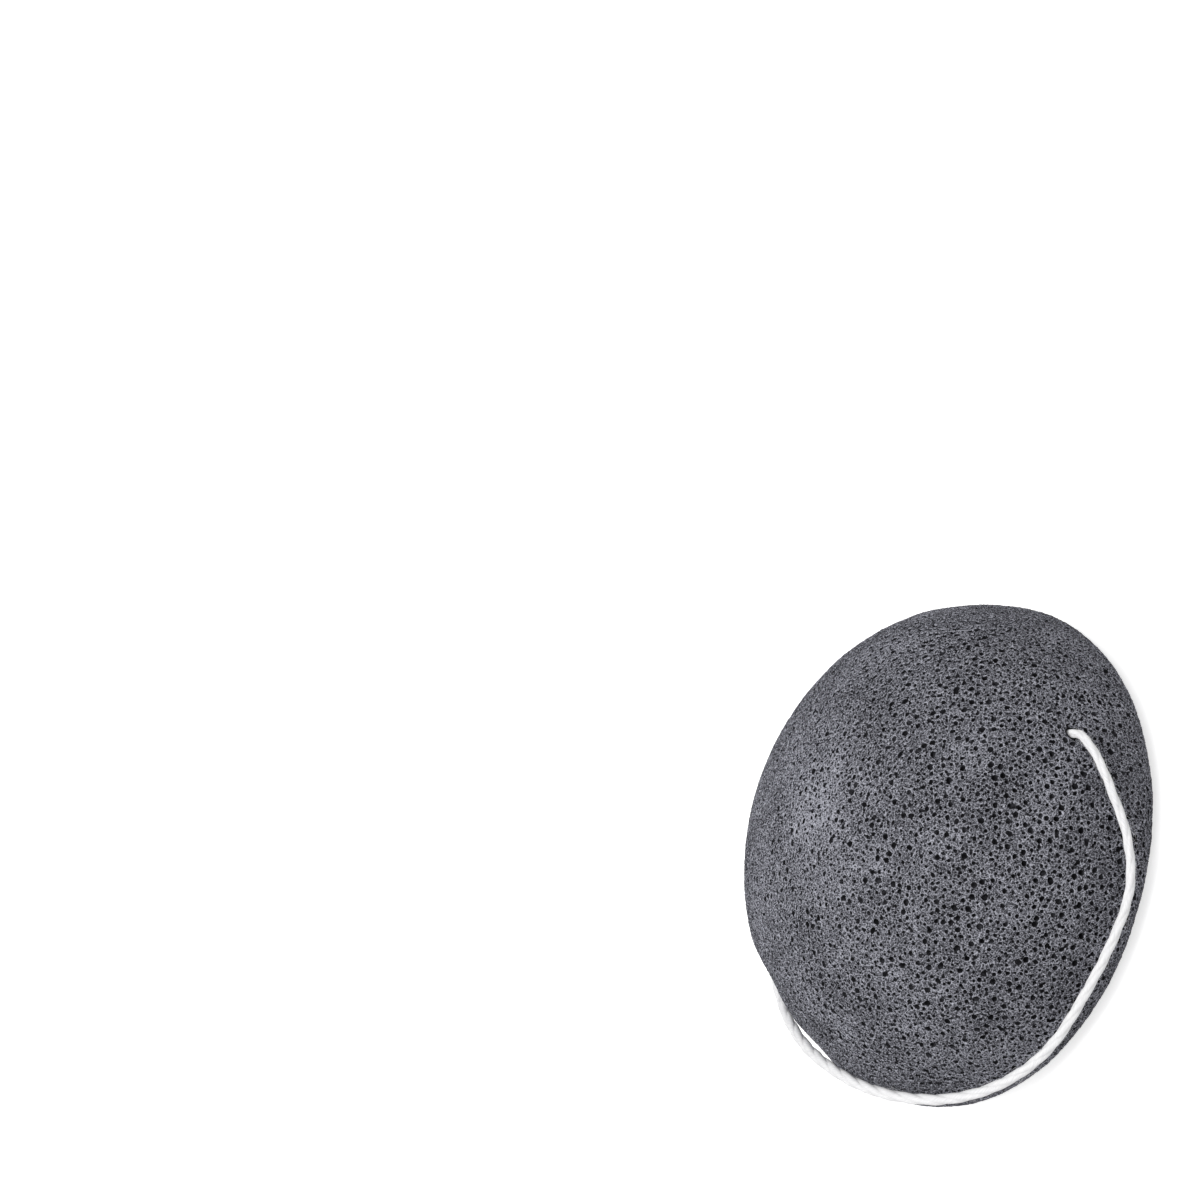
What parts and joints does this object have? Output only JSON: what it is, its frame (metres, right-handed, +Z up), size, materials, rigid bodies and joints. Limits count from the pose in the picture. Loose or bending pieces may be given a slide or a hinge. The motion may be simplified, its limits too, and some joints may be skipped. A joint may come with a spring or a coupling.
{
  "type": "konjac facial sponge",
  "caption": "Half-ball konjac sponge with a flat face and a cotton cord threaded through it that lies round its flank as a hanging loop.",
  "frame": {"origin": "middle of the sponge's flat face, which lies on the floor", "axes": "+Z up the dome's axis, +X along the cord's channel towards its front mouth, so that the loop lies on the -Y side"},
  "size_m": [0.071, 0.0729, 0.034],
  "materials": {
    "foam": "matt open-pored charcoal foam",
    "cotton": "matt twisted white cotton"
  },
  "bodies": {
    "sponge": {"sponge_body": "foam"},
    "cord": {"cord_loop": "cotton", "cord_front_run": "cotton", "cord_back_run": "cotton", "cord_knot": "cotton"}
  },
  "joints": [
    {"name": "loop_swing", "type": "hinge", "parent": "sponge", "child": "cord", "pos_m": [0, 0, 0.0146], "axis": [-1, 0, 0], "range_deg": [0, 170]}
  ]
}
